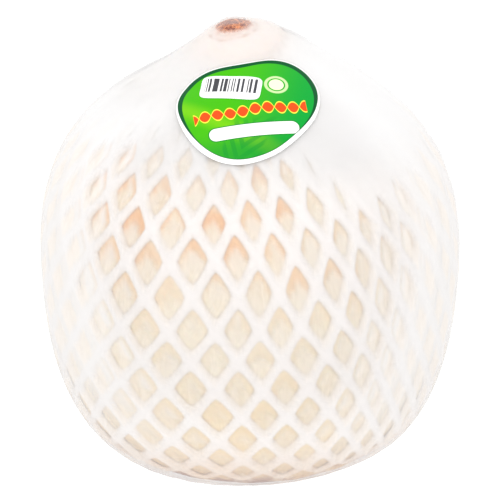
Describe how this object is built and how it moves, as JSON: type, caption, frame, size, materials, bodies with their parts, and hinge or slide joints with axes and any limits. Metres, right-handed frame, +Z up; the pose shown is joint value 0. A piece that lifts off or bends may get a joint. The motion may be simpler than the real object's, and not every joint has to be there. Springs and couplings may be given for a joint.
{
  "type": "wrapped young coconut",
  "caption": "Peeled young coconut with a blunt nub on top and a flat cut base, in an open foam net sleeve under clear film, with a die-cut label and a small code sticker.",
  "frame": {"origin": "centre of the object's footprint on the surface that it stands on", "axes": "+Z up through the stalk end, -Y to the front, where the label is, +X to the right seen from the front"},
  "size_m": [0.1292, 0.1296, 0.1376],
  "materials": {
    "husk": "pared moist fibrous husk, cream white, with a brown stalk scar",
    "foam": "soft white expanded polyethylene foam, matte",
    "film": "clear stretched packing film, glossy",
    "label_print": "glossy coated label stock, printed green with a white border",
    "sticker_print": "white satin label stock with printed black bars"
  },
  "bodies": {
    "root": {"coconut": "husk", "foam_net": "foam", "film_wrap": "film", "label": "label_print", "code_sticker": "sticker_print"}
  },
  "joints": []
}
